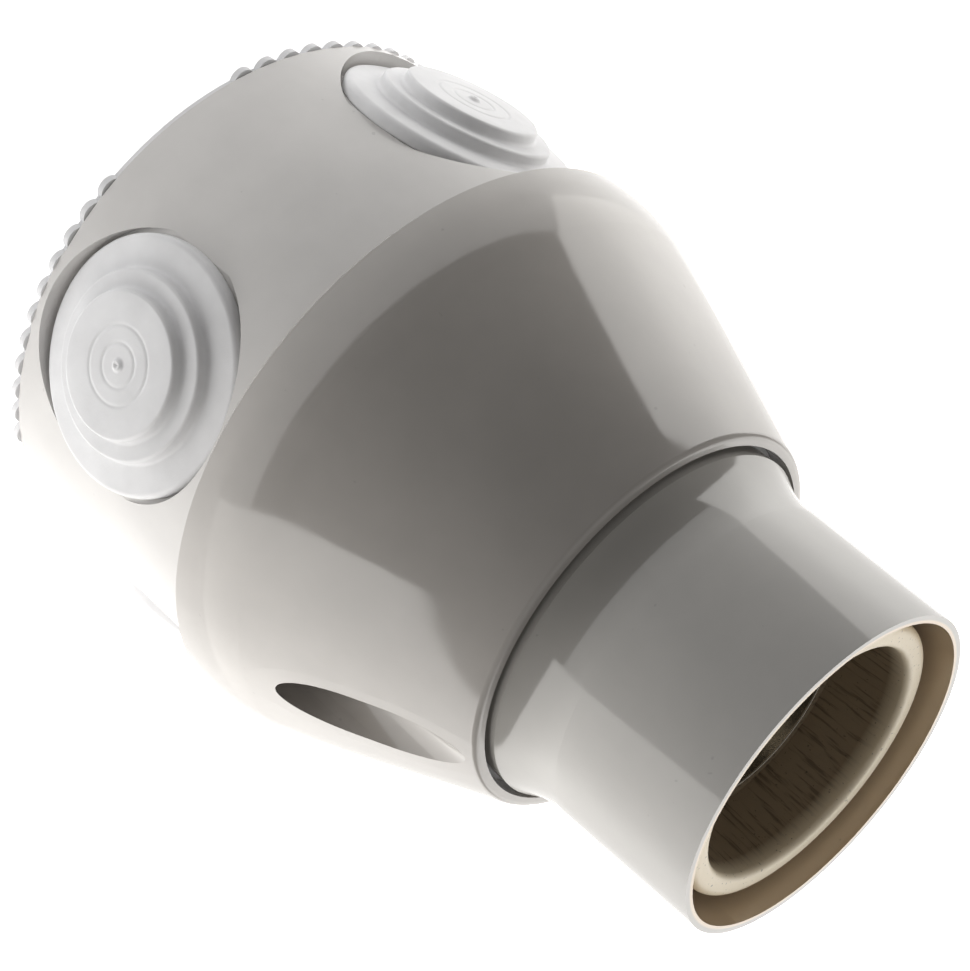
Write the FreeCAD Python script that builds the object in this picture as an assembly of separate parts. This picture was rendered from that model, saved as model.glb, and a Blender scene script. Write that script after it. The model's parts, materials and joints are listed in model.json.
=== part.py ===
import FreeCAD, Part
import math
import os

# Surface-mounted lamp holder: a round base housing with four cable entries, a conical cover,
# and a screw-cap lamp socket in a sleeve. Millimetres. The back lies on Z = 0, the lamp leaves
# along +Z, and the cable entries face +X, +Y, -X and -Y.

# ---- Driving dimensions ----
# Wall gasket
gasket_thickness = 1.0
gasket_inset = 0.8             # from the housing's wall
gasket_width = 5.5
rib_proud = 1.2                # beyond the gasket's edge
rib_round = 1.9
rib_count = 64                 # places round the rim, some left bare
rib_bare_count = 5             # bare places in each quarter
rib_bare_centre = 230.6        # degrees

# Base housing
base_radius = 42.5
base_wall = 2.4
base_floor = 2.5
base_height = 39.8             # visible wall, from the rim to the cover's edge
rim_chamfer = 0.35
base_overlap = 3.0             # wall that stands inside the cover
fixing_spacing = 56.0
fixing_hole_radius = 2.25
fixing_slot_length = 8.0
web_thickness = 2.2
web_drop = 3.0                 # from the wall's top to the web's top

# Cable entries
entry_count = 4
entry_height = 19.4            # centre, above the housing's rim
entry_radius = 18.3
entry_ring_wall = 1.8
entry_seat_depth = 3.7         # from the wall's outer face to the seat of the membrane's flange
entry_seat_thickness = 2.4
entry_bore_radius = 14.5

# Cable membranes
flange_clearance = 0.7
flange_thickness = 2.4
step_radii = (12.8, 10.0)
step_height = 1.75
membrane_wall = 1.3
membrane_chamfer = 0.35
ring_mark_radii = (5.3, 3.0)
ring_mark_width = 0.5
ring_mark_depth = 0.3
nub_radius = 1.1
nub_height = 0.45
neck_clearance = 0.25
bead_reach = 1.1
bead_thickness = 1.8

# Cover
lip_overhang = 2.84
cover_height = 42.6
shoulder_radius = 27.6
lip_chamfer = 0.4
mouth_edge_width = 1.45
mouth_round = 1.0
cover_wall = 2.3
cover_fit = 0.25
sleeve_gap = 0.93              # open ring between the cover's mouth and the sleeve
mouth_land = 6.5
seal_height = 1.5
seal_width = 1.6

# Cover screws and their pockets
pocket_inset = 6.5             # from the base's outer wall to the pocket's centre
pocket_radius = 4.6
pocket_stretch = 0.75          # each way along the radius
pocket_wall = 1.8
pocket_floor = 2.2
pocket_gap = 0.3
pocket_angles = (-48.4, 131.6)
boss_radius = 4.6
cover_screw_radius = 2.0
cover_screw_length = 15.0
cover_head_radius = 3.8
cover_head_height = 2.6
screw_hole_clearance = 0.25
thread_clearance = 0.05

# Sleeve
sleeve_reach = 115.0           # mouth, above the housing's rim
sleeve_mouth_radius = 25.0
sleeve_neck_radius = 25.4
sleeve_collar_radius = 27.6
sleeve_wall = 1.2
sleeve_lower_wall = 2.2
collar_rise = 0.8              # from the cover's mouth to the foot of the neck curve
neck_curve_height = 9.0
neck_sag = 0.8
sleeve_floor = 3.0
sleeve_floor_height = 48.0     # underside, above the housing's rim
sleeve_floor_hole = 13.0
ear_reach = 4.4                # screw centre, beyond the collar
ear_radius = 4.8
ear_angles = (45.0, 225.0)
sleeve_screw_radius = 1.8
sleeve_screw_length = 13.0
sleeve_head_radius = 3.3
sleeve_head_height = 2.2

# Sleeve seal
seal_ring_width = 0.75
seal_ring_height = 1.7
seal_ring_drop = 4.6           # ring centre, below the cover's mouth
seal_ring_clearance = 0.05

# Porcelain
porcelain_radius = 21.6
shroud_drop = 2.5              # lip, below the sleeve's mouth
shroud_lip_radius = 18.0
shroud_recess_depth = 10.9
shroud_recess_radius = 17.3
shroud_outer_round = 1.4
shroud_inner_round = 1.0
block_height = 25.0
centre_boss_radius = 8.5
centre_boss_height = 2.0
porcelain_screw_radius = 1.5
porcelain_screw_length = 10.0
porcelain_screw_distance = 17.0
porcelain_head_radius = 2.8
porcelain_head_height = 2.0

# Screw shell
shell_radius = 13.3            # inner wall, where the cap screws in
shell_foot_radius = 12.6       # inner wall below it
shell_foot_height = 6.5
shell_thickness = 0.6
shell_edge_rise = 1.0          # rolled edge, above the porcelain shoulder
shell_edge_chamfer = 0.25
shell_floor_hole = 9.0
shell_clearance = 0.4
rivet_radius = 1.1
rivet_head_radius = 1.6
rivet_head_height = 0.5
rivet_length = 6.0
rivet_distance = 10.5

# Centre contact
contact_travel = 2.0
contact_stop_gap = 0.4
contact_head_radius = 4.5
contact_head_thickness = 1.0
contact_dome_height = 0.8
contact_tip_radius = 2.2
stem_radius = 1.6
stem_clearance = 0.1
stem_tail = 1.2
spring_bore_radius = 4.1
spring_bore_depth = 6.0
spring_coil_radius = 3.0
spring_wire_radius = 0.35
spring_turns = 4.5
spring_wire_sides = 6
spring_steps_per_turn = 14
spring_end_gap = 0.05
guide_length = 7.0
clip_radius = 3.2
clip_thickness = 0.8
cavity_radius = 4.2

# Terminals and contact strips
terminal_inner = 4.8           # near face, from the lamp axis
terminal_length = 6.5
terminal_width = 9.0
terminal_height = 12.0
terminal_pocket_depth = 4.0
terminal_clearance = 0.2
terminal_wire_radius = 1.4
terminal_wire_depth = 8.0
terminal_screw_radius = 1.3
terminal_screw_height = 2.6    # axis, above the terminal's lower face
terminal_screw_length = 5.0
terminal_head_radius = 2.2
terminal_head_height = 1.8
strip_thickness = 0.5
strip_width = 3.0
strip_clearance = 0.2
live_strip_distance = 6.6
neutral_strip_distance = 9.5
neutral_tab_reach = 12.6

# Driver slots
slot_width = 0.9
slot_depth = 1.1
slot_reach_share = 0.62         # of the head's radius
head_chamfer = 0.6

# ---- Levels and sizes that follow ----
rim_z = gasket_thickness
floor_z = rim_z + base_floor
entry_z = rim_z + entry_height
cover_z = rim_z + base_height
wall_top_z = cover_z + base_overlap
seat_z = wall_top_z + seal_height
mouth_z = cover_z + cover_height
boss_top_z = seat_z - pocket_gap
pocket_floor_z = seat_z + pocket_floor
base_bore_radius = base_radius - base_wall
gasket_radius = base_radius - gasket_inset
entry_seat_distance = base_radius - entry_seat_depth
pocket_distance = base_radius - pocket_inset
lip_radius = base_radius + lip_overhang
ear_distance = sleeve_collar_radius + ear_reach
entry_flange_radius = entry_radius - flange_clearance
cover_mouth_radius = sleeve_collar_radius + sleeve_gap

sleeve_floor_z = rim_z + sleeve_floor_height
sleeve_seat_z = sleeve_floor_z + sleeve_floor
sleeve_mouth_z = rim_z + sleeve_reach
sleeve_bore_radius = sleeve_collar_radius - sleeve_lower_wall
seal_ring_z = mouth_z - seal_ring_drop
seal_ring_inner = sleeve_collar_radius + seal_ring_clearance

block_top_z = sleeve_seat_z + block_height
centre_boss_z = block_top_z + centre_boss_height
shroud_top_z = sleeve_mouth_z - shroud_drop
shoulder_z = shroud_top_z - shroud_recess_depth
shell_outer_radius = shell_radius + shell_thickness
shell_edge_z = shoulder_z + shell_edge_rise
shroud_bore_radius = shell_outer_radius + shell_clearance

spring_seat_z = centre_boss_z - spring_bore_depth
guide_bottom_z = spring_seat_z - guide_length
contact_head_z = centre_boss_z + contact_travel + contact_stop_gap
terminal_top_z = sleeve_seat_z + terminal_pocket_depth
terminal_bottom_z = terminal_top_z - terminal_height

CENTRE = FreeCAD.Vector(0, 0, 0)
UP = FreeCAD.Vector(0, 0, 1)


# ---- Building blocks ----
def at(x, y, z):
    return FreeCAD.Vector(x, y, z)


def cylinder(radius, z_low, z_high, x=0.0, y=0.0):
    return Part.makeCylinder(radius, z_high - z_low, at(x, y, z_low), UP)


def ring(outer, inner, z_low, z_high):
    return cylinder(outer, z_low, z_high).cut(cylinder(inner, z_low, z_high))


def block(x_low, x_high, width, z_low, z_high):
    return Part.makeBox(x_high - x_low, width, z_high - z_low, at(x_low, -width / 2, z_low))


def polar(distance, angle):
    radians = math.radians(angle)
    return distance * math.cos(radians), distance * math.sin(radians)


def turned(*steps):
    """Revolve a closed (radius, height) outline. A step of two pairs is an arc: through, end."""
    first = steps[0]
    here = at(first[0], 0, first[1])
    edges = []
    for step in steps[1:] + (first,):
        if isinstance(step[0], tuple):
            through, end = (at(r, 0, z) for r, z in step)
            edges.append(Part.Arc(here, through, end).toShape())
        else:
            end = at(step[0], 0, step[1])
            edges.append(Part.LineSegment(here, end).toShape())
        here = end
    return Part.Face(Part.Wire(edges)).revolve(CENTRE, UP, 360)


def arc_to(centre, radius, through_angle, end_angle):
    """Arc step of turned(), from its centre and the angles of its middle and end."""
    points = []
    for angle in (through_angle, end_angle):
        radians = math.radians(angle)
        points.append((centre[0] + radius * math.cos(radians), centre[1] + radius * math.sin(radians)))
    return tuple(points)


def spun(shape, angle):
    copy = shape.copy()
    copy.rotate(CENTRE, UP, angle)
    return copy


def facing_out(shape, angle):
    """Turn a shape made along +Z to lie along a horizontal radius at the entries' height."""
    copy = shape.copy()
    copy.rotate(CENTRE, at(0, 1, 0), 90)
    copy.translate(at(0, 0, entry_z))
    return spun(copy, angle)


def fuse_all(first, others):
    return first.fuse(list(others)).removeSplitter()


def screw(radius, length, head_radius, head_height):
    """Pan-head screw along +Z: shank below Z = 0, head above, with a crossed driver slot."""
    head = cylinder(head_radius, 0, head_height)
    rim = [edge for edge in head.Edges if edge.Closed and edge.CenterOfMass.z > head_height / 2]
    head = head.makeChamfer(head_chamfer, rim)
    half = head_radius * slot_reach_share
    slot = block(-half, half, slot_width, head_height - slot_depth, head_height)
    body = head.fuse(cylinder(radius, -length, 0)).removeSplitter()
    return body.cut(slot).cut(spun(slot, 90))


def placed(shape, x, y, z):
    copy = shape.copy()
    copy.translate(at(x, y, z))
    return copy


def flipped(shape):
    copy = shape.copy()
    copy.rotate(CENTRE, at(1, 0, 0), 180)
    return copy


# ---- Base housing and its gasket ----
def wall_gasket():
    body = ring(gasket_radius, gasket_radius - gasket_width, 0, gasket_thickness)
    rib = cylinder(rib_round, 0, gasket_thickness, gasket_radius + rib_proud - rib_round)
    pitch = 360 / rib_count
    quarter = rib_count // 4
    first_bare = round(rib_bare_centre / pitch) - rib_bare_count // 2
    ribs = []
    for place in range(rib_count):
        if (place - first_bare) % quarter >= rib_bare_count:
            ribs.append(spun(rib, place * pitch))
    return fuse_all(body, ribs)


def cover_boss(angle):
    x, y = polar(pocket_distance, angle)
    boss = cylinder(boss_radius, floor_z, boss_top_z, x, y)
    hole_bottom = seat_z + pocket_floor - cover_screw_length - pocket_gap
    return boss, cylinder(cover_screw_radius + thread_clearance, hole_bottom, boss_top_z, x, y)


def sleeve_pillar(angle):
    x, y = polar(ear_distance, angle)
    pillar = cylinder(ear_radius, floor_z, sleeve_floor_z, x, y)
    web_end = base_bore_radius + base_wall / 2
    web = block(ear_distance, web_end, web_thickness, floor_z, wall_top_z - web_drop)
    hole_bottom = sleeve_seat_z - sleeve_screw_length - pocket_gap
    hole = cylinder(sleeve_screw_radius + thread_clearance, hole_bottom, sleeve_floor_z, x, y)
    return pillar.fuse(spun(web, angle)), hole


def fixing_slot():
    half = (fixing_slot_length - 2 * fixing_hole_radius) / 2
    middle = fixing_spacing / 2
    slot = block(middle - half, middle + half, 2 * fixing_hole_radius, rim_z, floor_z)
    ends = [cylinder(fixing_hole_radius, rim_z, floor_z, middle + side * half) for side in (-1, 1)]
    return slot.fuse(ends)


def base_housing():
    body = cylinder(base_radius, rim_z, wall_top_z).cut(cylinder(base_bore_radius, floor_z, wall_top_z))
    added, cuts = [], []
    seat_back = entry_seat_distance - entry_seat_thickness
    outside = cylinder(base_radius, rim_z, wall_top_z)
    for index in range(entry_count):
        angle = index * 360 / entry_count
        collar = cylinder(entry_radius + entry_ring_wall, seat_back, base_radius)
        added.append(facing_out(collar, angle).common(outside))
        recess = cylinder(entry_radius, entry_seat_distance, base_radius)
        bore = cylinder(entry_bore_radius, seat_back, base_radius)
        cuts += [facing_out(recess, angle), facing_out(bore, angle)]
    back_edges = [edge for edge in body.Edges if edge.Closed and edge.CenterOfMass.z < floor_z - rim_chamfer]
    body = body.makeChamfer(rim_chamfer, back_edges)
    for angle in pocket_angles:
        boss, hole = cover_boss(angle)
        added.append(boss)
        cuts.append(hole)
    for angle in ear_angles:
        pillar, hole = sleeve_pillar(angle)
        added.append(pillar)
        cuts.append(hole)
    slot = fixing_slot()
    return fuse_all(body, added).cut(cuts + [slot, spun(slot, 180)])


# ---- Cable entries ----
def cable_membrane(angle):
    """Stepped rubber cap: a flange in the wall's recess, a neck through the bore and a bead behind."""
    face = entry_seat_distance + flange_thickness
    crown = face + 2 * step_height
    seat_back = entry_seat_distance - entry_seat_thickness
    neck = entry_bore_radius - neck_clearance
    bead = entry_bore_radius + bead_reach
    bead_top = seat_back - neck_clearance
    bead_low = bead_top - bead_thickness
    outer, inner = step_radii
    body = turned(
        (0, bead_low), (bead, bead_low), (bead, bead_top), (neck, bead_top), (neck, entry_seat_distance),
        (entry_flange_radius, entry_seat_distance), (entry_flange_radius, face), (outer, face),
        (outer, face + step_height), (inner, face + step_height), (inner, crown), (0, crown))
    body = body.makeChamfer(membrane_chamfer, [edge for edge in body.Edges if is_outer_corner(edge, face)])
    tread = face + step_height
    hollow = turned(
        (0, bead_low), (neck - membrane_wall, bead_low), (neck - membrane_wall, face - membrane_wall),
        (outer - membrane_wall, face - membrane_wall), (outer - membrane_wall, tread - membrane_wall),
        (inner - membrane_wall, tread - membrane_wall), (inner - membrane_wall, crown - membrane_wall),
        (0, crown - membrane_wall))
    marks = [ring(radius + ring_mark_width / 2, radius - ring_mark_width / 2, crown - ring_mark_depth, crown)
             for radius in ring_mark_radii]
    nub = cylinder(nub_radius, crown, crown + nub_height)
    return facing_out(body.cut([hollow] + marks).fuse(nub), angle)


def is_outer_corner(edge, face):
    """The convex rims on the visible side of a membrane."""
    if not edge.Closed:
        return False
    levels = (face, face + step_height, face + 2 * step_height)
    rims = zip((entry_flange_radius,) + step_radii, levels)
    return any(math.isclose(edge.Curve.Radius, radius, abs_tol=1e-3)
               and math.isclose(edge.CenterOfMass.z, level, abs_tol=1e-3) for radius, level in rims)


# ---- Cover ----
def cone_slope():
    """Half angle of the cone that leaves the shoulder's arc smoothly and ends at the mouth's edge."""
    across = cover_mouth_radius + mouth_edge_width - (lip_radius - shoulder_radius)
    up = cover_height - lip_chamfer
    return math.atan2(up, across) - math.acos(shoulder_radius / math.hypot(across, up))


def cone_radius(z, inset=0.0):
    """Outer radius of the cover's cone at a height, less a horizontal inset."""
    return cover_mouth_radius + mouth_edge_width + (mouth_z - z) * math.tan(cone_slope()) - inset


def cover_form():
    slope = cone_slope()
    shoulder = (lip_radius - shoulder_radius, cover_z + lip_chamfer)
    turn = arc_to(shoulder, shoulder_radius, math.degrees(slope) / 2, math.degrees(slope))
    mouth_edge = cover_mouth_radius + mouth_edge_width
    tangent = mouth_round * math.tan((math.pi / 2 - slope) / 2)
    cone_end = (mouth_edge + tangent * math.sin(slope), mouth_z - tangent * math.cos(slope))
    centre = (mouth_edge - tangent, mouth_z - mouth_round)
    bend = arc_to(centre, mouth_round, (90 + math.degrees(slope)) / 2, 90)
    return turned((0, cover_z), (lip_radius - lip_chamfer, cover_z), (lip_radius, cover_z + lip_chamfer),
                  turn, cone_end, bend, (0, mouth_z))


def oblong(radius, z_low, z_high, angle):
    """Upright prism with round ends, stretched along the radius, at the place of a cover screw."""
    ends = [cylinder(radius, z_low, z_high, pocket_distance + side * pocket_stretch) for side in (-1, 1)]
    near, far = pocket_distance - pocket_stretch, pocket_distance + pocket_stretch
    middle = block(near, far, 2 * radius, z_low, z_high)
    return spun(middle.fuse(ends).removeSplitter(), angle)


def cover_cavity():
    inset = cover_wall / math.cos(cone_slope())
    lip_bore = base_radius + cover_fit
    seal_bore = base_radius - base_wall + cover_fit
    bend_z = cover_z + (cone_radius(cover_z, inset) - seal_bore) / math.tan(cone_slope())
    top_z = mouth_z - mouth_land
    return turned(
        (0, cover_z), (lip_bore, cover_z), (lip_bore, seat_z), (seal_bore, seat_z), (seal_bore, bend_z),
        (cone_radius(top_z, inset), top_z), (0, top_z))


def cover_cone():
    form = cover_form()
    posts, cuts = [], []
    for angle in pocket_angles:
        x, y = polar(pocket_distance, angle)
        posts.append(oblong(pocket_radius + pocket_wall, seat_z, mouth_z, angle).common(form))
        cuts.append(oblong(pocket_radius, pocket_floor_z, mouth_z, angle))
        cuts.append(cylinder(cover_screw_radius + screw_hole_clearance, seat_z, pocket_floor_z, x, y))
    cuts.append(cylinder(cover_mouth_radius, cover_z, mouth_z))
    half = seal_ring_height / 2 + seal_ring_clearance
    outer = seal_ring_inner + seal_ring_width + seal_ring_clearance + sleeve_gap
    cuts.append(cylinder(outer, seal_ring_z - half, seal_ring_z + half))
    return fuse_all(form.cut(cover_cavity()), posts).cut(cuts)


def cover_seal():
    outer = base_radius - (base_wall - seal_width) / 4
    return ring(outer, outer - seal_width, wall_top_z, seat_z)


def cover_screw(angle):
    x, y = polar(pocket_distance, angle)
    return placed(screw(cover_screw_radius, cover_screw_length, cover_head_radius, cover_head_height),
                  x, y, pocket_floor_z)


# ---- Sleeve ----
def lamp_sleeve():
    foot_z = mouth_z + collar_rise
    neck_z = foot_z + neck_curve_height
    middle = ((sleeve_neck_radius + sleeve_collar_radius) / 2 - neck_sag, (foot_z + neck_z) / 2)
    neck_bore = sleeve_neck_radius - sleeve_wall
    tube = turned(
        (sleeve_floor_hole, sleeve_floor_z), (sleeve_collar_radius, sleeve_floor_z),
        (sleeve_collar_radius, foot_z), (middle, (sleeve_neck_radius, neck_z)),
        (sleeve_mouth_radius, sleeve_mouth_z),
        (sleeve_mouth_radius - sleeve_wall, sleeve_mouth_z), (neck_bore, neck_z), (neck_bore, foot_z),
        (sleeve_bore_radius, foot_z - sleeve_lower_wall), (sleeve_bore_radius, sleeve_seat_z),
        (sleeve_floor_hole, sleeve_seat_z))
    ears, holes = [], []
    for angle in ear_angles:
        arm_start = sleeve_bore_radius + sleeve_lower_wall / 2
        arm = block(arm_start, ear_distance, 2 * ear_radius, sleeve_floor_z, sleeve_seat_z)
        x, y = polar(ear_distance, angle)
        ears.append(spun(arm, angle).fuse(cylinder(ear_radius, sleeve_floor_z, sleeve_seat_z, x, y)))
        hole = sleeve_screw_radius + screw_hole_clearance
        holes.append(cylinder(hole, sleeve_floor_z, sleeve_seat_z, x, y))
    for side in (-1, 1):
        hole = porcelain_screw_radius + screw_hole_clearance
        holes.append(cylinder(hole, sleeve_floor_z, sleeve_seat_z, 0, side * porcelain_screw_distance))
    return fuse_all(tube, ears).cut(holes)


def sleeve_screw(angle):
    x, y = polar(ear_distance, angle)
    return placed(screw(sleeve_screw_radius, sleeve_screw_length, sleeve_head_radius, sleeve_head_height),
                  x, y, sleeve_seat_z)


def sleeve_seal():
    half = seal_ring_height / 2
    outer = seal_ring_inner + seal_ring_width + sleeve_gap
    return ring(outer, seal_ring_inner, seal_ring_z - half, seal_ring_z + half)


# ---- Porcelain ----
def ceramic_shroud():
    outer_centre = (porcelain_radius - shroud_outer_round, shroud_top_z - shroud_outer_round)
    inner_centre = (shroud_lip_radius + shroud_inner_round, shroud_top_z - shroud_inner_round)
    return turned(
        (shroud_bore_radius, block_top_z), (porcelain_radius, block_top_z),
        (porcelain_radius, outer_centre[1]), arc_to(outer_centre, shroud_outer_round, 45, 90),
        (inner_centre[0], shroud_top_z), arc_to(inner_centre, shroud_inner_round, 135, 180),
        (shroud_recess_radius, shoulder_z), (shroud_bore_radius, shoulder_z))


def ceramic_base():
    body = cylinder(porcelain_radius, sleeve_seat_z, block_top_z)
    body = body.fuse(cylinder(centre_boss_radius, block_top_z, centre_boss_z)).removeSplitter()
    gap = strip_clearance
    slot_width_open = strip_width + 2 * gap
    live = live_strip_distance
    neutral = neutral_strip_distance
    reach = strip_thickness / 2 + gap
    tab_z = block_top_z - strip_thickness
    cuts = [
        cylinder(spring_bore_radius, spring_seat_z, centre_boss_z),
        cylinder(stem_radius + stem_clearance, guide_bottom_z, spring_seat_z),
        cylinder(cavity_radius, sleeve_seat_z, guide_bottom_z),
        block(0, live + reach, slot_width_open, spring_seat_z, centre_boss_z),
        block(live - reach, live + reach, slot_width_open, terminal_top_z, spring_seat_z),
        block(-neutral - reach, -neutral + reach, slot_width_open, terminal_top_z, block_top_z),
        block(-neutral_tab_reach - gap, -neutral + reach, slot_width_open, tab_z, block_top_z)]
    for side in (-1, 1):
        near = terminal_inner - terminal_clearance
        far = terminal_inner + terminal_length + terminal_clearance
        pocket = block(near, far, terminal_width + 2 * terminal_clearance, sleeve_seat_z, terminal_top_z)
        cuts.append(pocket if side > 0 else spun(pocket, 180))
        screw_top = sleeve_floor_z + porcelain_screw_length + pocket_gap
        cuts.append(cylinder(porcelain_screw_radius + thread_clearance, sleeve_seat_z, screw_top,
                             0, side * porcelain_screw_distance))
        rivet_bottom = block_top_z + shell_thickness - rivet_length
        hole = rivet_radius + thread_clearance
        cuts.append(cylinder(hole, rivet_bottom, block_top_z, 0, side * rivet_distance))
    return body.cut(cuts)


def porcelain_screw(side):
    shape = flipped(screw(porcelain_screw_radius, porcelain_screw_length,
                          porcelain_head_radius, porcelain_head_height))
    return placed(shape, 0, side * porcelain_screw_distance, sleeve_floor_z)


# ---- Screw shell ----
def screw_shell():
    floor_top = block_top_z + shell_thickness
    step_z = block_top_z + shell_foot_height
    foot_outer = shell_foot_radius + shell_thickness
    roll_z = shell_edge_z - shell_edge_chamfer
    body = turned(
        (shell_floor_hole, block_top_z), (foot_outer, block_top_z), (foot_outer, step_z - shell_thickness),
        (shell_outer_radius, step_z - shell_thickness), (shell_outer_radius, roll_z),
        (shell_outer_radius - shell_edge_chamfer, shell_edge_z), (shell_radius, shell_edge_z),
        (shell_radius, step_z), (shell_foot_radius, step_z), (shell_foot_radius, floor_top),
        (shell_floor_hole, floor_top))
    holes = [cylinder(rivet_radius + thread_clearance, block_top_z, floor_top, 0, side * rivet_distance)
             for side in (-1, 1)]
    return body.cut(holes)


def shell_rivet(side):
    top = block_top_z + shell_thickness
    shank = cylinder(rivet_radius, top - rivet_length, top)
    head = cylinder(rivet_head_radius, top, top + rivet_head_height)
    return placed(shank.fuse(head).removeSplitter(), 0, side * rivet_distance, 0)


# ---- Sprung centre contact ----
def centre_contact():
    head_top = contact_head_z + contact_head_thickness
    tip_z = head_top + contact_dome_height
    stem_bottom = guide_bottom_z - clip_thickness - stem_tail
    return turned(
        (0, stem_bottom), (stem_radius, stem_bottom), (stem_radius, contact_head_z),
        (contact_head_radius, contact_head_z), (contact_head_radius, head_top), (contact_tip_radius, tip_z),
        (0, tip_z))


def contact_clip():
    return ring(clip_radius, stem_radius + thread_clearance, guide_bottom_z - clip_thickness, guide_bottom_z)


def spring_section(turn, height):
    """Wire section in the upright plane through the axis, turned to its place on the coil."""
    corners = []
    for side in range(spring_wire_sides + 1):
        radians = 2 * math.pi * side / spring_wire_sides
        corners.append(at(spring_coil_radius + spring_wire_radius * math.cos(radians), 0,
                          height + spring_wire_radius * math.sin(radians)))
    return spun(Part.makePolygon(corners), turn)


def contact_spring():
    low = spring_seat_z + strip_thickness + spring_wire_radius + spring_end_gap
    high = contact_head_z - spring_wire_radius - spring_end_gap
    count = round(spring_turns * spring_steps_per_turn)
    sections = []
    for index in range(count + 1):
        share = index / count
        sections.append(spring_section(360 * spring_turns * share, low + (high - low) * share))
    return Part.makeLoft(sections, True, True)


# ---- Terminals and contact strips ----
def terminal():
    """Brass block with a wire hole from below and a clamping screw from its outer side."""
    outer = terminal_inner + terminal_length
    body = block(terminal_inner, outer, terminal_width, terminal_bottom_z, terminal_top_z)
    wire = cylinder(terminal_wire_radius, terminal_bottom_z, terminal_bottom_z + terminal_wire_depth,
                    terminal_inner + terminal_length / 3)
    axis_z = terminal_bottom_z + terminal_screw_height
    thread = Part.makeCylinder(terminal_screw_radius + thread_clearance, terminal_screw_length,
                               at(outer - terminal_screw_length, 0, axis_z), at(1, 0, 0))
    return body.cut([wire, thread])


def terminal_screw():
    shape = screw(terminal_screw_radius, terminal_screw_length - pocket_gap, terminal_head_radius,
                  terminal_head_height)
    shape.rotate(CENTRE, at(0, 1, 0), 90)
    return placed(shape, terminal_inner + terminal_length, 0, terminal_bottom_z + terminal_screw_height)


def live_strip():
    """Plate under the spring, with a tail down to the live terminal."""
    top = spring_seat_z + strip_thickness
    plate = cylinder(spring_bore_radius - strip_clearance, spring_seat_z, top)
    half = strip_thickness / 2
    arm = block(0, live_strip_distance + half, strip_width, spring_seat_z, top)
    tail = block(live_strip_distance - half, live_strip_distance + half, strip_width, terminal_top_z, top)
    hole = cylinder(stem_radius + 3 * stem_clearance, spring_seat_z, top)
    return plate.fuse([arm, tail]).removeSplitter().cut(hole)


def neutral_strip():
    """Tab under the shell's floor, with a tail down to the neutral terminal."""
    half = strip_thickness / 2
    inner, outer = -neutral_strip_distance + half, -neutral_strip_distance - half
    tab = block(-neutral_tab_reach, inner, strip_width, block_top_z - strip_thickness, block_top_z)
    tail = block(outer, inner, strip_width, terminal_top_z, block_top_z)
    return tab.fuse(tail).removeSplitter()


# ---- Assembly ----
def all_nodes():
    nodes = {
        "wall_gasket": wall_gasket(), "base_housing": base_housing(), "cover_seal": cover_seal(),
        "cover_cone": cover_cone(), "sleeve_seal": sleeve_seal(), "lamp_sleeve": lamp_sleeve(),
        "ceramic_base": ceramic_base(), "ceramic_shroud": ceramic_shroud(),
        "screw_shell": screw_shell(), "centre_contact": centre_contact(),
        "contact_clip": contact_clip(), "contact_spring": contact_spring(),
        "live_strip": live_strip(), "neutral_strip": neutral_strip()}
    for index in range(entry_count):
        nodes[f"cable_membrane_{index + 1}"] = cable_membrane(index * 360 / entry_count)
    for number, angle in enumerate(pocket_angles, 1):
        nodes[f"cover_screw_{number}"] = cover_screw(angle)
    for number, angle in enumerate(ear_angles, 1):
        nodes[f"sleeve_screw_{number}"] = sleeve_screw(angle)
    for number, side in enumerate((-1, 1), 1):
        nodes[f"porcelain_screw_{number}"] = porcelain_screw(side)
        nodes[f"shell_rivet_{number}"] = shell_rivet(side)
    for name, angle in (("live", 0), ("neutral", 180)):
        nodes[f"{name}_terminal"] = spun(terminal(), angle)
        nodes[f"{name}_terminal_screw"] = spun(terminal_screw(), angle)
    return nodes


os.makedirs("parts", exist_ok=True)
for name, shape in all_nodes().items():
    assert shape.isValid() and shape.Solids, name
    shape.exportStep(f"parts/{name}.step")
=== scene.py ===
"""Surface-mounted lamp holder: finishes (the porcelain's among them), the rolled screw shell and the cable
membranes, round the CAD frame.
"""
import json
import math

import bpy
from mathutils import Matrix, Vector


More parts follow.
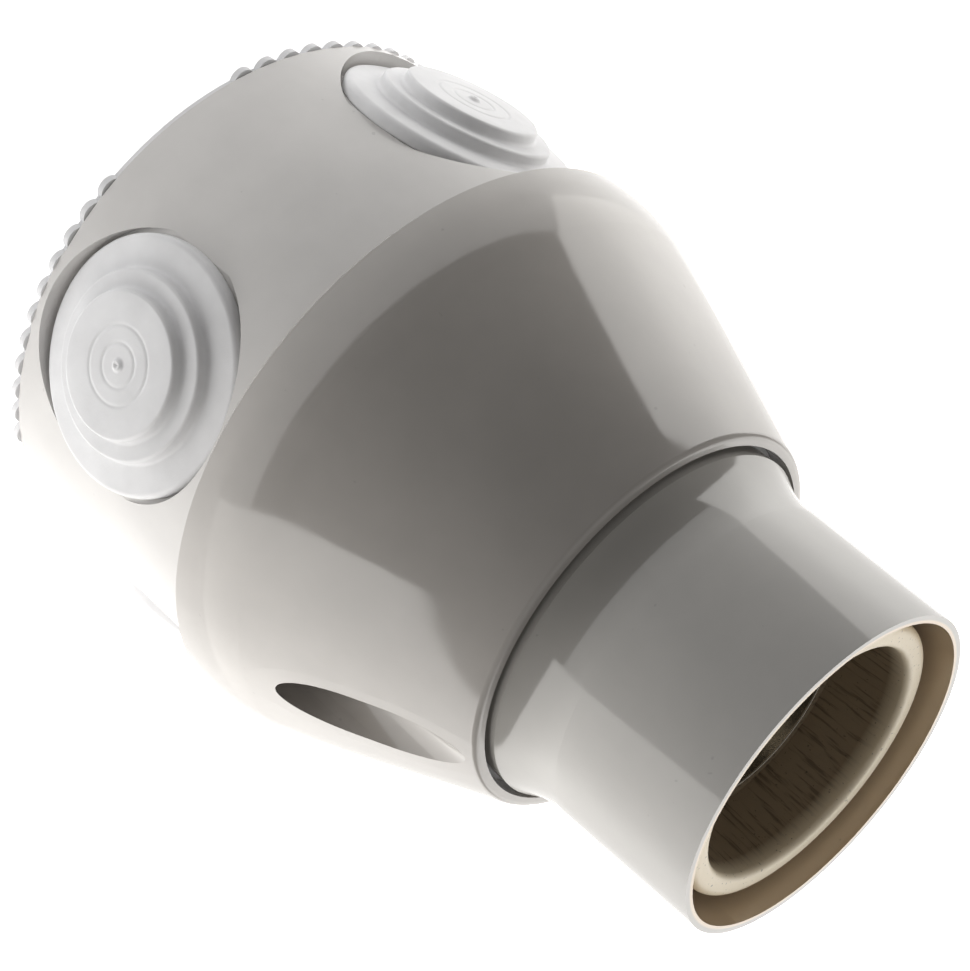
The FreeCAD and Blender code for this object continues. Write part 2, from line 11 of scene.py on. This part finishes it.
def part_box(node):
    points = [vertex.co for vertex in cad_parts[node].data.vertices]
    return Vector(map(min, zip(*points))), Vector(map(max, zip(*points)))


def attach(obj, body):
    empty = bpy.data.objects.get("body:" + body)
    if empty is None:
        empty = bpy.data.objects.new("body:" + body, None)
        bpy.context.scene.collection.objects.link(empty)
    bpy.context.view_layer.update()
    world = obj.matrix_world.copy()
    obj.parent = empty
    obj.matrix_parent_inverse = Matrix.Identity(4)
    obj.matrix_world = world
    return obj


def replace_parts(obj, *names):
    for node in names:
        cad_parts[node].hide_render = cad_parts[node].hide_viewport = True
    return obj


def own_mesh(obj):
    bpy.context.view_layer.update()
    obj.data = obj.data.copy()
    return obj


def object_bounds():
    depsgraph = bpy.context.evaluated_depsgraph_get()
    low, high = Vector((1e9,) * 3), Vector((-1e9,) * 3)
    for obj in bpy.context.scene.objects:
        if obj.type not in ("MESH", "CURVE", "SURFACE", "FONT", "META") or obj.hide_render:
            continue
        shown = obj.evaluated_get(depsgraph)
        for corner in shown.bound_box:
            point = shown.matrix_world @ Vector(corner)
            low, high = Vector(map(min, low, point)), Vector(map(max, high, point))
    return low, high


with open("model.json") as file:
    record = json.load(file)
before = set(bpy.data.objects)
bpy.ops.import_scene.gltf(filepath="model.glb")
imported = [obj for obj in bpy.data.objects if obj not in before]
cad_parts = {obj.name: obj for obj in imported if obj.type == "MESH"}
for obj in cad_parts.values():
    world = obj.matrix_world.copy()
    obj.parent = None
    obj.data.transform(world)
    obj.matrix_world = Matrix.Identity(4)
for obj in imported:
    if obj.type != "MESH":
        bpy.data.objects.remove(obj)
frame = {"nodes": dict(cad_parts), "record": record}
cad_low, cad_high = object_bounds()
nodes = frame["nodes"]

MM = 0.001
HOLDER = "holder"

# ---- Screw shell, in millimetres ----
SHELL_RADIUS = 13.3            # the solid's inner wall, at the thread's widest
SHELL_FOOT_RADIUS = 12.6
SHELL_FOOT_HEIGHT = 6.5
SHELL_THICKNESS = 0.6
SHELL_FLOOR_HOLE = 9.0
THREAD_PITCH = 3.629
THREAD_DEPTH = 1.05
THREAD_SHEET = 0.3
THREAD_STEPS = 14              # rings for each pitch
THREAD_TOP_GAP = 2.6           # plain sheet above the thread, up to the rolled edge
THREAD_TOP_FADE = 0.5          # the thread starts to fade this many pitches past its top
SHELL_FLARE = 0.2
ROLL_START = 0.3               # below the top
ROLLED_EDGE = ((0.35, 0.08), (0.2, 0.0), (0.0, 0.12), (0.0, 0.55))  # in from the outside, down from the top
SHELL_SEGMENTS = 96

# ---- Cable membranes: steps out from the crown, in millimetres ----
NUB_HEIGHT = 0.45
NUB_RADIUS = 1.1
NUB_FLAT = 1.6                 # above 1, it steepens the nub's side and flattens its top
DIMPLE_RADIUS = 0.3
DIMPLE_SHARE = 0.7             # of the nub's height
STEP_RADII = (12.8, 10.0)
STEP_HEIGHT = 1.75
STEP_ROUND = 0.5
STEP_CREASE = 0.6
STEP_DRAFT = 0.1
CROWN_RIM = 2.0                # plain band at the crown's edge, before its finer rings
FLANGE_THICKNESS = 2.4
FLANGE_RISE = 0.35             # the flange's slope, from its edge to the first step
FLANGE_ROUND = 0.9
BACK_ROUND = 0.3
BEAD_ROUND = 0.5
MARK_RADII = (5.4, 3.0)
MARK_WIDTH = 0.22
MARK_DEPTH = 0.12
NECK_RADIUS = 14.25
BEAD_RADIUS = 15.6
BEAD_THICKNESS = 1.8
NECK_LENGTH = 2.65
CROWN_RINGS = 56
MEMBRANE_SEGMENTS = 96

# ---- Colour changes, partly painted light, in millimetres ----
PAINTED_GLOW_RADIUS = 24.4            # the sleeve is tinted tan inside this radius: painted reflection of the porcelain and painted glow of light through its thin wall
PAINTED_GLOW_EDGE = 0.3
RECESS_SHADE_START = 0.7                # below the porcelain's rim, where its cream starts to turn brown and darker, partly painted shade
RECESS_SHADE_DEPTH = 3.2

# ---- View: the camera stands to the front left, rolled so that the lamp axis falls to the lower right ----
CAMERA_AZIMUTH = -23.4
CAMERA_ELEVATION = 29.66
CAMERA_ROLL = 129.7
CAMERA_DISTANCE = 338.8
CAMERA_AIM_HEIGHT = 51.0
CAMERA_SIDESTEP = -0.8
CAMERA_LENS = 90.44
CAMERA_SENSOR = 36.0

# ---- Light: a curved white panel, with an opening towards the camera; directions as azimuths from +X ----
OPENING_AZIMUTH = -113.0
PANEL_RADIUS = 160.0
PANEL_HEIGHTS = (1.0, 100.0)
OPENING_LEFT = (50.0, 42.0)    # half width towards -Y and on to +X, at the panel's foot and top
OPENING_RIGHT = (90.0, 70.0)   # half width the other way
PANEL_STEPS = 48
PANEL_LIGHT = 3.0              # beside the opening
PANEL_BACK_LIGHT = 1.4
PANEL_FADE = (-0.85, -0.2)     # cosines from the opening's direction, from the back light to the full one
ROOM_LIGHT = 0.11
TOP_LIGHT = 0.5
TOP_START = 0.5
BACK_LIGHT = 2.4               # a softbox behind the holder and above it
BACK_ELEVATION = 36.0
BACK_SPREAD = (0.76, 0.9)      # cosines of its faded edge
LIGHT_COLOUR = (1.0, 0.985, 0.96, 1.0)

# ---- Floor ----
FLOOR_WHITE = 0.8
FLOOR_DIM = 0.12
FLOOR_NEAR = 100.0
FLOOR_FAR = 150.0
FLOOR_GLOW = 0.85
TABLE_LIGHT = 0.85
FLOOR_RADIUS = 900.0
FLOOR_SIDES = 96
FLOOR_GAP = 0.02


# ---- Helpers ----
def box_mm(node):
    """Lowest and highest corner of a CAD node, in millimetres."""
    low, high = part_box(node)
    return Vector(low) / MM, Vector(high) / MM


def new_piece(name, verts, faces, material, body=HOLDER, smooth=True):
    """Mesh object from millimetre points, riding on a CAD body."""
    mesh = bpy.data.meshes.new(name)
    mesh.from_pydata([Vector(v) * MM for v in verts], [], faces)
    mesh.validate()
    mesh.materials.append(material)
    mesh.polygons.foreach_set("use_smooth", [smooth] * len(mesh.polygons))
    piece = bpy.data.objects.new(name, mesh)
    bpy.context.scene.collection.objects.link(piece)
    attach(piece, body)
    return piece


def lathe_faces(rings, segments, closed):
    """Quads between rings of points, with the last ring joined to the first if closed."""
    faces = []
    for ring in range(rings if closed else rings - 1):
        here = ring * segments
        there = (ring + 1) % rings * segments
        for step in range(segments):
            after = (step + 1) % segments
            faces.append((here + step, here + after, there + after, there + step))
    return faces


def polar(radius, angle, height):
    return (radius * math.cos(angle), radius * math.sin(angle), height)


def eased(share):
    """0 to 1, with a smooth start and end."""
    share = max(0.0, min(1.0, share))
    return share * share * (3 - 2 * share)


def rounded(corners, steps=5):
    """Outline through (x, y, round) corners, with an arc of that radius at each that has one."""
    outline = []
    for place, (x, y, radius) in enumerate(corners):
        here = Vector((x, y))
        if not radius or place in (0, len(corners) - 1):
            outline.append(tuple(here))
            continue
        before = (Vector(corners[place - 1][:2]) - here).normalized()
        after = (Vector(corners[place + 1][:2]) - here).normalized()
        half = before.angle(after) / 2
        start, end = here + before * radius / math.tan(half), here + after * radius / math.tan(half)
        centre = here + (before + after).normalized() * radius / math.sin(half)
        for step in range(steps + 1):
            share = step / steps
            spoke = (start - centre).lerp(end - centre, share)
            outline.append(tuple(centre + spoke.normalized() * radius))
    return outline


def lathed(name, outline, segments, place, material, closed=True):
    """Piece turned from a (radius, distance) outline; place() puts each point of the turn in the frame."""
    verts = []
    for radius, distance in outline:
        for step in range(segments):
            verts.append(place(radius, 2 * math.pi * step / segments, distance))
    return new_piece(name, verts, lathe_faces(len(outline), segments, closed), material)


# ---- Materials ----
class Nodes:
    """Small builder for a node tree."""

    def __init__(self, name):
        self.material = bpy.data.materials.new(name)
        self.material.use_nodes = True
        self.tree = self.material.node_tree
        self.shader = self.tree.nodes["Principled BSDF"]

    def add(self, kind, **inputs):
        node = self.tree.nodes.new(kind)
        for key, value in inputs.items():
            node.inputs[key.replace("_", " ")].default_value = value
        return node

    def link(self, source, target):
        self.tree.links.new(source, target)

    def set(self, **inputs):
        for key, value in inputs.items():
            self.shader.inputs[key.replace("_", " ")].default_value = value

    def coordinates(self, scale=(1, 1, 1)):
        mapping = self.add("ShaderNodeMapping", Scale=scale)
        self.link(self.add("ShaderNodeTexCoord").outputs["Object"], mapping.inputs["Vector"])
        return mapping.outputs["Vector"]

    def noise(self, vector, scale, detail=3.0, roughness=0.55):
        node = self.add("ShaderNodeTexNoise", Scale=scale, Detail=detail, Roughness=roughness)
        self.link(vector, node.inputs["Vector"])
        return node.outputs["Fac"]

    def ramp(self, value, stops):
        node = self.add("ShaderNodeValToRGB")
        elements = node.color_ramp.elements
        while len(elements) < len(stops):
            elements.new(0.5)
        for element, (place, colour) in zip(elements, stops):
            element.position = place
            element.color = colour if len(colour) == 4 else (*colour, 1.0)
        self.link(value, node.inputs["Fac"])
        return node.outputs["Color"]

    def mixed(self, share, first, second, blend="MIX"):
        """Colour mix; share, first and second are numbers, colours or sockets."""
        node = self.tree.nodes.new("ShaderNodeMix")
        node.data_type = "RGBA"
        node.blend_type = blend
        sockets = {socket.identifier: socket for socket in node.inputs}
        for key, value in (("Factor_Float", share), ("A_Color", first), ("B_Color", second)):
            if isinstance(value, (float, tuple)):
                sockets[key].default_value = value
            else:
                self.link(value, sockets[key])
        return next(socket for socket in node.outputs if socket.identifier == "Result_Color")

    def bump(self, height, strength, distance):
        node = self.add("ShaderNodeBump", Strength=strength, Distance=distance)
        self.link(height, node.inputs["Height"])
        self.link(node.outputs["Normal"], self.shader.inputs["Normal"])


def grey(value):
    return (value, value, value)


def moulded_plastic(name, colour, painted_glow_colour=None, inner=0.0):
    """Glossy moulded plastic with faint mottling, specks and waves, tinted within a radius of the axis with
    a painted reflection and glow.
    """
    n = Nodes(name)
    place = n.coordinates()
    tones = [(0.35, tuple(c * 0.97 for c in colour)), (0.65, tuple(min(1.0, c * 1.03) for c in colour))]
    body = n.ramp(n.noise(place, 90.0), tones)
    # Within the radius the colour turns tan: painted reflection of the porcelain and painted glow through
    # the thin wall.
    if painted_glow_colour:
        across = n.add("ShaderNodeVectorMath")
        across.operation = "LENGTH"
        n.link(n.coordinates((1, 1, 0)), across.inputs[0])
        edge = n.add("ShaderNodeMapRange")
        for key, value in (("From Min", (inner - PAINTED_GLOW_EDGE) * MM), ("From Max", inner * MM)):
            edge.inputs[key].default_value = value
        n.link(across.outputs["Value"], edge.inputs["Value"])
        body = n.mixed(edge.outputs["Result"], (*painted_glow_colour, 1.0), body)
    specks = n.ramp(n.noise(place, 750.0, detail=1.0), [(0.78, grey(1.0)), (0.82, grey(0.86))])
    n.link(n.mixed(1.0, body, specks, "MULTIPLY"), n.shader.inputs["Base Color"])
    gloss = n.ramp(n.noise(place, 260.0), [(0.3, grey(0.075)), (0.7, grey(0.12))])
    n.link(gloss, n.shader.inputs["Roughness"])
    n.bump(n.noise(place, 120.0, detail=2.0), 0.06, 0.0004)
    n.set(IOR=1.6)
    return n.material


def soft_rubber(name, colour):
    """Matt rubber with a fine grain and a slightly dusty tone."""
    n = Nodes(name)
    place = n.coordinates()
    tone = n.noise(place, 160.0)
    darker = tuple(c * 0.94 for c in colour)
    lighter = tuple(min(1.0, c * 1.04) for c in colour)
    n.link(n.ramp(tone, [(0.3, darker), (0.7, lighter)]), n.shader.inputs["Base Color"])
    n.bump(n.noise(place, 1800.0, detail=2.0), 0.12, 0.0002)
    n.set(Roughness=0.5, IOR=1.45)
    return n.material


def porcelain(name, lip, wall, dark, lip_z):
    """Cream porcelain at the lip, brown and darker in the recess, partly its own tone and partly painted
    shade, with pits and fine streaks along the axis.
    """
    n = Nodes(name)
    streaks = n.noise(n.coordinates((1.0, 1.0, 0.07)), 1500.0, detail=3.0)
    pits = n.noise(n.coordinates(), 1900.0, detail=2.0)
    parts = n.add("ShaderNodeSeparateXYZ")
    n.link(n.coordinates(), parts.inputs["Vector"])
    # Down into the recess the colour turns brown and dark: partly the porcelain's own tone, partly painted
    # shade.
    height = n.add("ShaderNodeMapRange")
    for key, value in (("From Min", lip_z - RECESS_SHADE_DEPTH * MM), ("From Max", lip_z - RECESS_SHADE_START * MM)):
        height.inputs[key].default_value = value
    n.link(parts.outputs["Z"], height.inputs["Value"])
    recess_brown_and_shade = n.ramp(streaks, [(0.36, dark), (0.47, wall)])
    body = n.mixed(height.outputs["Result"], recess_brown_and_shade, (*lip, 1.0))
    spots = n.ramp(pits, [(0.27, grey(0.45)), (0.33, grey(1.0))])
    n.link(n.mixed(1.0, body, spots, "MULTIPLY"), n.shader.inputs["Base Color"])
    n.bump(streaks, 0.3, 0.0002)
    n.set(Roughness=0.45, IOR=1.5)
    return n.material


def metal(name, colour, roughness):
    """Bare or plated metal with a faintly clouded colour and an uneven polish."""
    n = Nodes(name)
    place = n.coordinates()
    clouded = tuple(c * 0.88 for c in colour)
    n.link(n.ramp(n.noise(place, 500.0), [(0.3, clouded), (0.7, colour)]), n.shader.inputs["Base Color"])
    polish = [(0.3, grey(roughness * 0.8)), (0.7, grey(roughness * 1.3))]
    n.link(n.ramp(n.noise(place, 1500.0), polish), n.shader.inputs["Roughness"])
    n.set(Metallic=1.0)
    return n.material


MATERIALS = {
    "housing_plastic": moulded_plastic("Housing plastic", (0.60, 0.585, 0.57)),
    "cover_plastic": moulded_plastic("Cover plastic", (0.46, 0.436, 0.412)),
    # The sleeve's tan inside is painted light: the porcelain's reflection and glow through its thin wall.
    "sleeve_plastic": moulded_plastic("Sleeve plastic", (0.45, 0.434, 0.41), (0.80, 0.64, 0.46),
                                      PAINTED_GLOW_RADIUS),
    "rubber": soft_rubber("Rubber", (0.73, 0.73, 0.74)),
    # The porcelain's recess colours are dark partly as painted shade.
    "porcelain": porcelain("Porcelain", (0.86, 0.76, 0.58), (0.29, 0.225, 0.15), (0.15, 0.11, 0.07),
                           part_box("ceramic_shroud")[1][2]),
    # The nickel's colour is set dark and brownish: painted shade for the shell deep in the socket.
    "nickel": metal("Nickel", (0.32, 0.29, 0.24), 0.22),
    "steel": metal("Zinc plated steel", (0.62, 0.62, 0.61), 0.32),
    "brass": metal("Brass", (0.72, 0.53, 0.26), 0.3),
}


def dress_nodes():
    """Give every CAD node that stays the finish of its slot."""
    for row in frame["record"]["subparts"]:
        mesh = nodes[row["node"]].data
        mesh.materials.clear()
        mesh.materials.append(MATERIALS[row["material_slot"]])


def pressed_spring():
    """The centre contact's spring, whose turns close up as the contact goes down; here it only gets a mesh
    of its own.
    """
    spring = nodes["contact_spring"]
    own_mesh(spring)


# ---- Screw shell: a rolled sheet with a knuckle thread, a rolled edge, a plain foot and a floor ----
def shell_wall(height, angle, step, thread_top, top):
    """Inner radius of the sheet at a height and angle."""
    plain = SHELL_FOOT_RADIUS + (SHELL_RADIUS - SHELL_FOOT_RADIUS) * eased(height - step)
    fade = min((height - step) / THREAD_PITCH, (thread_top - height) / THREAD_PITCH + THREAD_TOP_FADE)
    wave = math.cos(2 * math.pi * height / THREAD_PITCH - angle)
    flare = SHELL_FLARE * eased((height - thread_top) / (top - thread_top))
    return plain - THREAD_DEPTH / 2 * (1 - wave) * eased(fade) + flare


def screw_shell():
    low, high = box_mm("screw_shell")
    bottom, top = low.z, high.z
    step, thread_top = bottom + SHELL_FOOT_HEIGHT, top - THREAD_TOP_GAP
    count = round((top - bottom) / THREAD_PITCH * THREAD_STEPS)
    floor_top = bottom + SHELL_THICKNESS
    heights = [floor_top + (top - ROLL_START - floor_top) * index / count for index in range(count + 1)]
    outer = SHELL_RADIUS + SHELL_THICKNESS
    verts = []

    def wall(height, inset):
        for index in range(SHELL_SEGMENTS):
            angle = 2 * math.pi * index / SHELL_SEGMENTS
            verts.append(polar(shell_wall(height, angle, step, thread_top, top) + inset, angle, height))

    def circle(radius, height):
        for index in range(SHELL_SEGMENTS):
            verts.append(polar(radius, 2 * math.pi * index / SHELL_SEGMENTS, height))

    for height in heights:
        wall(height, 0.0)
    for inwards, down in ROLLED_EDGE:
        circle(outer - inwards, top - down)
    for height in reversed(heights[:-2]):
        wall(height, THREAD_SHEET)
    circle(SHELL_FOOT_RADIUS + THREAD_SHEET, bottom)
    circle(SHELL_FLOOR_HOLE, bottom)
    circle(SHELL_FLOOR_HOLE, floor_top)
    faces = lathe_faces(len(verts) // SHELL_SEGMENTS, SHELL_SEGMENTS, True)
    piece = new_piece("threaded_shell", verts, faces, MATERIALS["nickel"])
    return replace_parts(piece, "screw_shell")


# ---- Cable membranes: soft-edged steps, faint rings round a small nub ----
def crown_height(radius):
    """Rise of the crown's face over its flat: two fine grooves and a dimpled nub."""
    rise = -sum(MARK_DEPTH * math.exp(-((radius - mark) / MARK_WIDTH) ** 2) for mark in MARK_RADII)
    dome = NUB_HEIGHT * eased((NUB_RADIUS - radius) / NUB_RADIUS * NUB_FLAT)
    return rise + dome - NUB_HEIGHT * DIMPLE_SHARE * math.exp(-(radius / DIMPLE_RADIUS) ** 2)


def cable_membrane(number):
    node = f"cable_membrane_{number}"
    low, high = box_mm(node)
    centre, size = (low + high) / 2, high - low
    angle = math.radians(90 * (number - 1))
    flange_radius = size.z / 2
    crown = max(abs(v) for v in (low.x, low.y, high.x, high.y)) - NUB_HEIGHT
    outer, inner = STEP_RADII
    face, tread = crown - 2 * STEP_HEIGHT, crown - STEP_HEIGHT
    seat = face - FLANGE_THICKNESS
    bead_top = seat - NECK_LENGTH
    bead_low = bead_top - BEAD_THICKNESS
    reach = inner - CROWN_RIM
    steps = rounded([
        (0, bead_low, 0), (BEAD_RADIUS, bead_low, BEAD_ROUND), (BEAD_RADIUS, bead_top, BACK_ROUND),
        (NECK_RADIUS, bead_top, 0), (NECK_RADIUS, seat, 0), (flange_radius, seat, BACK_ROUND),
        (flange_radius, face - FLANGE_RISE, FLANGE_ROUND),
        (outer + STEP_DRAFT, face, STEP_CREASE), (outer, tread, STEP_ROUND),
        (inner + STEP_DRAFT, tread, STEP_CREASE), (inner, crown, STEP_ROUND), (reach, crown, 0)])
    face_rings = [reach * (1 - index / CROWN_RINGS) for index in range(1, CROWN_RINGS)]
    outline = steps + [(radius, crown + crown_height(radius)) for radius in face_rings]
    outline.append((0.0, crown + crown_height(0.0)))

    def place(radius, turn, distance):
        across, up = radius * math.cos(turn), radius * math.sin(turn)
        return (distance * math.cos(angle) - across * math.sin(angle),
                distance * math.sin(angle) + across * math.cos(angle), centre.z + up)

    piece = lathed(f"membrane_{number}", outline, MEMBRANE_SEGMENTS, place, MATERIALS["rubber"],
                   closed=False)
    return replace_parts(piece, node)


# ---- Scene ----
def camera():
    data = bpy.data.cameras.new("Camera")
    data.lens = CAMERA_LENS
    data.sensor_width = CAMERA_SENSOR
    data.clip_start, data.clip_end = 0.01, 20.0
    eye = bpy.data.objects.new("Camera", data)
    bpy.context.scene.collection.objects.link(eye)
    azimuth, elevation = math.radians(CAMERA_AZIMUTH), math.radians(CAMERA_ELEVATION)
    back = Vector((math.sin(azimuth) * math.cos(elevation), -math.cos(azimuth) * math.cos(elevation),
                   math.sin(elevation)))
    side = Vector((math.cos(azimuth), math.sin(azimuth), 0)) * CAMERA_SIDESTEP * MM
    eye.location = Vector((0, 0, CAMERA_AIM_HEIGHT * MM)) + back * CAMERA_DISTANCE * MM + side
    level = (-back).to_track_quat("-Z", "Y").to_matrix()
    eye.rotation_mode = "QUATERNION"
    eye.rotation_quaternion = (level @ Matrix.Rotation(math.radians(CAMERA_ROLL), 3, "Z")).to_quaternion()
    bpy.context.scene.camera = eye


def calculate(tree, operation, first, second):
    node = tree.nodes.new("ShaderNodeMath")
    node.operation = operation
    for place, value in enumerate((first, second)):
        if isinstance(value, (int, float)):
            node.inputs[place].default_value = value
        else:
            tree.links.new(value, node.inputs[place])
    return node.outputs["Value"]


def stage_piece(name, points, faces, material):
    mesh = bpy.data.meshes.new(name)
    mesh.from_pydata([Vector(point) * MM for point in points], [], faces)
    mesh.materials.append(material)
    piece = bpy.data.objects.new(name, mesh)
    bpy.context.scene.collection.objects.link(piece)


def empty_material(name):
    material = bpy.data.materials.new(name)
    material.use_nodes = True
    material.node_tree.nodes.clear()
    return material, material.node_tree


def seen_rays(tree):
    """1 for the rays by which the background is seen, straight or in a reflection, 0 for the rest."""
    path = tree.nodes.new("ShaderNodeLightPath")
    mirrored = calculate(tree, "MAXIMUM", path.outputs["Is Glossy Ray"], path.outputs["Is Transmission Ray"])
    return calculate(tree, "MAXIMUM", path.outputs["Is Camera Ray"], mirrored)


def fading(tree, value, start, end, first, last):
    """First up to start, last beyond end, eased between."""
    node = tree.nodes.new("ShaderNodeMapRange")
    node.interpolation_type = "SMOOTHSTEP"
    for name, number in (("From Min", start), ("From Max", end), ("To Min", first), ("To Max", last)):
        node.inputs[name].default_value = number
    tree.links.new(value, node.inputs["Value"])
    return node.outputs["Result"]


def along(tree, place, direction):
    """Dot product of a vector socket with a fixed direction."""
    node = tree.nodes.new("ShaderNodeVectorMath")
    node.operation = "DOT_PRODUCT"
    tree.links.new(place, node.inputs[0])
    node.inputs[1].default_value = direction
    return node.outputs["Value"]


def world_light():
    """A dim room, lighter overhead, with a softbox behind, and white to the camera."""
    world = bpy.data.worlds.new("Studio")
    bpy.context.scene.world = world
    world.use_nodes = True
    tree = world.node_tree
    tree.nodes.clear()
    parts = tree.nodes.new("ShaderNodeSeparateXYZ")
    place = tree.nodes.new("ShaderNodeTexCoord").outputs["Generated"]
    tree.links.new(place, parts.inputs["Vector"])
    room = fading(tree, parts.outputs["Z"], TOP_START, 1.0, ROOM_LIGHT, TOP_LIGHT)
    aim = polar(math.cos(math.radians(BACK_ELEVATION)), math.radians(OPENING_AZIMUTH + 180),
                math.sin(math.radians(BACK_ELEVATION)))
    softbox = fading(tree, along(tree, place, aim), *BACK_SPREAD, 0.0, BACK_LIGHT)
    room = calculate(tree, "MAXIMUM", room, softbox)
    path = tree.nodes.new("ShaderNodeLightPath")
    background = tree.nodes.new("ShaderNodeBackground")
    background.inputs["Color"].default_value = LIGHT_COLOUR
    seen = calculate(tree, "MAXIMUM", room, path.outputs["Is Camera Ray"])
    tree.links.new(seen, background.inputs["Strength"])
    output = tree.nodes.new("ShaderNodeOutputWorld")
    tree.links.new(background.outputs[0], output.inputs[0])


def light_panel():
    """Curved white screen round the holder, open on one side and unseen by the camera."""
    material, tree = empty_material("Panel")
    path = tree.nodes.new("ShaderNodeLightPath")
    glow = tree.nodes.new("ShaderNodeEmission")
    glow.inputs["Color"].default_value = LIGHT_COLOUR
    place = tree.nodes.new("ShaderNodeTexCoord").outputs["Object"]
    ahead = along(tree, place, polar(1 / (PANEL_RADIUS * MM), math.radians(OPENING_AZIMUTH), 0.0))
    tree.links.new(fading(tree, ahead, *PANEL_FADE, PANEL_BACK_LIGHT, PANEL_LIGHT), glow.inputs["Strength"])
    clear = tree.nodes.new("ShaderNodeBsdfTransparent")
    pick = tree.nodes.new("ShaderNodeMixShader")
    tree.links.new(path.outputs["Is Camera Ray"], pick.inputs["Fac"])
    tree.links.new(glow.outputs[0], pick.inputs[1])
    tree.links.new(clear.outputs[0], pick.inputs[2])
    output = tree.nodes.new("ShaderNodeOutputMaterial")
    tree.links.new(pick.outputs[0], output.inputs[0])
    points, faces = [], []
    for step in range(PANEL_STEPS + 1):
        for height, left, right in zip(PANEL_HEIGHTS, OPENING_LEFT, OPENING_RIGHT):
            angle = OPENING_AZIMUTH + left + (360 - left - right) * step / PANEL_STEPS
            points.append(polar(PANEL_RADIUS, math.radians(angle), height))
    for step in range(PANEL_STEPS):
        faces.append((2 * step, 2 * step + 1, 2 * step + 3, 2 * step + 2))
    stage_piece("light_panel", points, faces, material)


def floor():
    """White table that reads white where it is seen, keeps the holder's shadow and lights it from near."""
    material, tree = empty_material("Floor")
    seen = seen_rays(tree)
    place = tree.nodes.new("ShaderNodeTexCoord").outputs["Object"]
    length = tree.nodes.new("ShaderNodeVectorMath")
    length.operation = "LENGTH"
    tree.links.new(place, length.inputs[0])
    near = fading(tree, length.outputs["Value"], FLOOR_NEAR * MM, FLOOR_FAR * MM, 1.0, 0.0)
    colour = calculate(tree, "MAXIMUM", calculate(tree, "MULTIPLY", near, FLOOR_WHITE),
                       calculate(tree, "MAXIMUM", calculate(tree, "MULTIPLY", seen, FLOOR_WHITE), FLOOR_DIM))
    diffuse = tree.nodes.new("ShaderNodeBsdfDiffuse")
    tree.links.new(colour, diffuse.inputs["Color"])
    glow = tree.nodes.new("ShaderNodeEmission")
    lit = calculate(tree, "MULTIPLY", near, TABLE_LIGHT)
    tree.links.new(calculate(tree, "MAXIMUM", lit, calculate(tree, "MULTIPLY", seen, FLOOR_GLOW)),
                   glow.inputs["Strength"])
    both = tree.nodes.new("ShaderNodeAddShader")
    tree.links.new(diffuse.outputs[0], both.inputs[0])
    tree.links.new(glow.outputs[0], both.inputs[1])
    output = tree.nodes.new("ShaderNodeOutputMaterial")
    tree.links.new(both.outputs[0], output.inputs[0])
    level = cad_low[2] / MM - FLOOR_GAP
    rim = [polar(FLOOR_RADIUS, 2 * math.pi * step / FLOOR_SIDES, level) for step in range(FLOOR_SIDES)]
    stage_piece("floor", rim, [list(range(FLOOR_SIDES))], material)


dress_nodes()
pressed_spring()
screw_shell()
for number in range(1, 5):
    cable_membrane(number)
camera()
world_light()
light_panel()
floor()
bpy.context.scene.view_settings.view_transform = "Standard"
